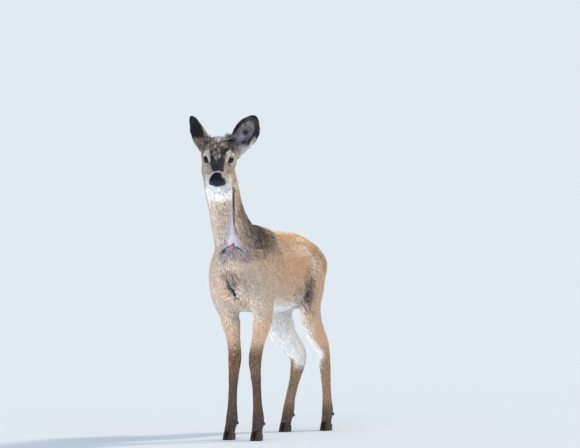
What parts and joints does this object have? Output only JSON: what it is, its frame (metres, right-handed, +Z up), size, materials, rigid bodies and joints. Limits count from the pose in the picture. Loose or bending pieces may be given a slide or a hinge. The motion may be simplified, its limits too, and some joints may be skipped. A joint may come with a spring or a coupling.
{
  "type": "white-tailed deer model",
  "caption": "Still, life-size young white-tailed doe in winter coat, standing alert on four legs with her head turned to the left.",
  "frame": {"origin": "on the ground, under the middle of the body's bounding box", "axes": "+Z up, -Y the way the body faces (head end), +X the deer's left side"},
  "size_m": [0.315, 1.091, 1.3298],
  "materials": {
    "winter_coat": "short dense grey-brown fur with white markings",
    "ear_coat": "dark short fur with paler hair inside the cup",
    "eye": "wet dark eye",
    "nose_leather": "bare, moist, pebbled black skin",
    "horn": "smooth dark horn"
  },
  "bodies": {
    "root": {"barrel": "winter_coat", "ear_left": "ear_coat", "ear_right": "ear_coat", "eye_left": "eye", "eye_right": "eye", "fore_left_cannon": "winter_coat", "fore_left_dewclaw_left": "horn", "fore_left_dewclaw_right": "horn", "fore_left_forearm": "winter_coat", "fore_left_hoof_left": "horn", "fore_left_hoof_right": "horn", "fore_left_pastern": "winter_coat", "fore_right_cannon": "winter_coat", "fore_right_dewclaw_left": "horn", "fore_right_dewclaw_right": "horn", "fore_right_forearm": "winter_coat", "fore_right_hoof_left": "horn", "fore_right_hoof_right": "horn", "fore_right_pastern": "winter_coat", "forequarters": "winter_coat", "haunches": "winter_coat", "head": "winter_coat", "hind_left_cannon": "winter_coat", "hind_left_dewclaw_left": "horn", "hind_left_dewclaw_right": "horn", "hind_left_gaskin": "winter_coat", "hind_left_hoof_left": "horn", "hind_left_hoof_right": "horn", "hind_left_pastern": "winter_coat", "hind_left_thigh": "winter_coat", "hind_right_cannon": "winter_coat", "hind_right_dewclaw_left": "horn", "hind_right_dewclaw_right": "horn", "hind_right_gaskin": "winter_coat", "hind_right_hoof_left": "horn", "hind_right_hoof_right": "horn", "hind_right_pastern": "winter_coat", "hind_right_thigh": "winter_coat", "neck": "winter_coat", "nose": "nose_leather", "tail": "winter_coat"}
  },
  "joints": []
}
